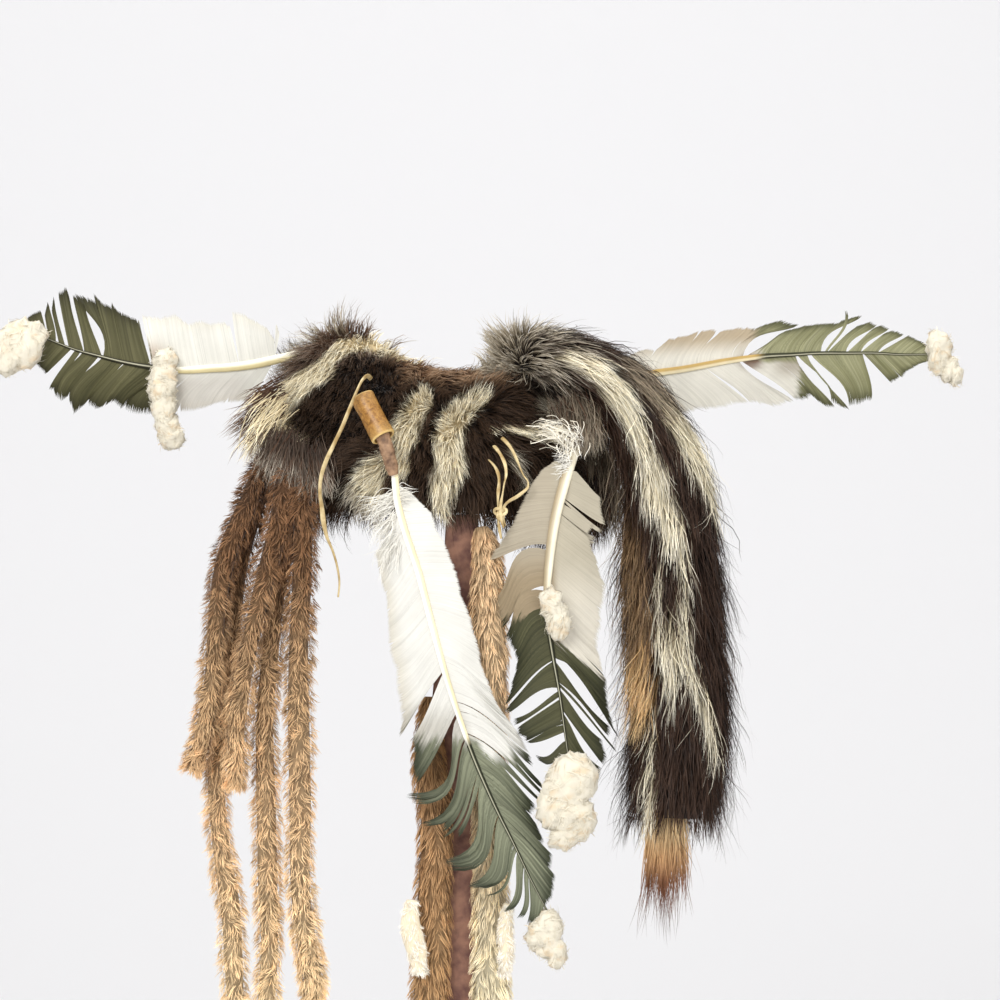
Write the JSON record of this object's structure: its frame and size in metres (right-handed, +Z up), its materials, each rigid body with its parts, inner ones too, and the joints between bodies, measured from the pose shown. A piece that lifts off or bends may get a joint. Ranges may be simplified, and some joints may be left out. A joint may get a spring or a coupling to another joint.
{
  "type": "feathered fur turban headdress",
  "caption": "Open fur turban with a bushy striped tail, feathers that stand out sideways and hang, twisted fur strips, a pelt drop and rawhide ties.",
  "frame": {"origin": "middle of the head opening, in the plane of the turban's lower rim, where the head holds it", "axes": "+Z up, -Y to the wearer's back where the pieces hang, +X to the side that the tail is on"},
  "size_m": [0.63, 0.2888, 0.5042],
  "materials": {
    "hide": "raw tanned hide, matte",
    "dark_fur": "long soft fur, dark brown-black with cream stripes",
    "tail_fur": "long coarse guard hair, striped cream, tan and black",
    "brown_fur": "short dense plush fur, brown at the top fading to tan",
    "tan_fur": "short sleek fur, tan to gold",
    "feather": "white vane turning to dyed olive green at the tip, satin",
    "wool": "matte cream wool",
    "bone": "bone, mottled golden brown, satin",
    "leather_wrap": "thin brown leather, matte",
    "rawhide": "pale rawhide, slightly waxy",
    "white_fur": "short white fur on golden hide"
  },
  "bodies": {
    "root": {"side_feather_left": "feather", "side_feather_right": "feather", "hanging_feather_long": "feather", "hanging_feather_short": "feather", "tuft_left_tip": "wool", "tuft_left_middle": "wool", "tuft_right_tip": "wool", "tuft_short_middle": "wool", "tuft_short_tip": "wool", "tuft_long_tip": "wool", "bone_tube": "bone", "quill_wrap": "leather_wrap", "thong": "rawhide", "tie_lace_left": "rawhide", "tie_lace_middle": "rawhide", "tie_lace_right": "rawhide", "lace_knot": "rawhide", "tail": "tail_fur", "fur_strip_1": "brown_fur", "fur_strip_2": "brown_fur", "fur_strip_3": "brown_fur", "fur_strip_4": "brown_fur", "fur_strip_5": "brown_fur", "drop_hide": "hide", "drop_fur_left": "tan_fur", "drop_fur_right": "tan_fur", "ermine_bit_left": "white_fur", "ermine_bit_right": "white_fur", "pelt_band": "hide", "band_fur": "dark_fur"}
  },
  "joints": []
}
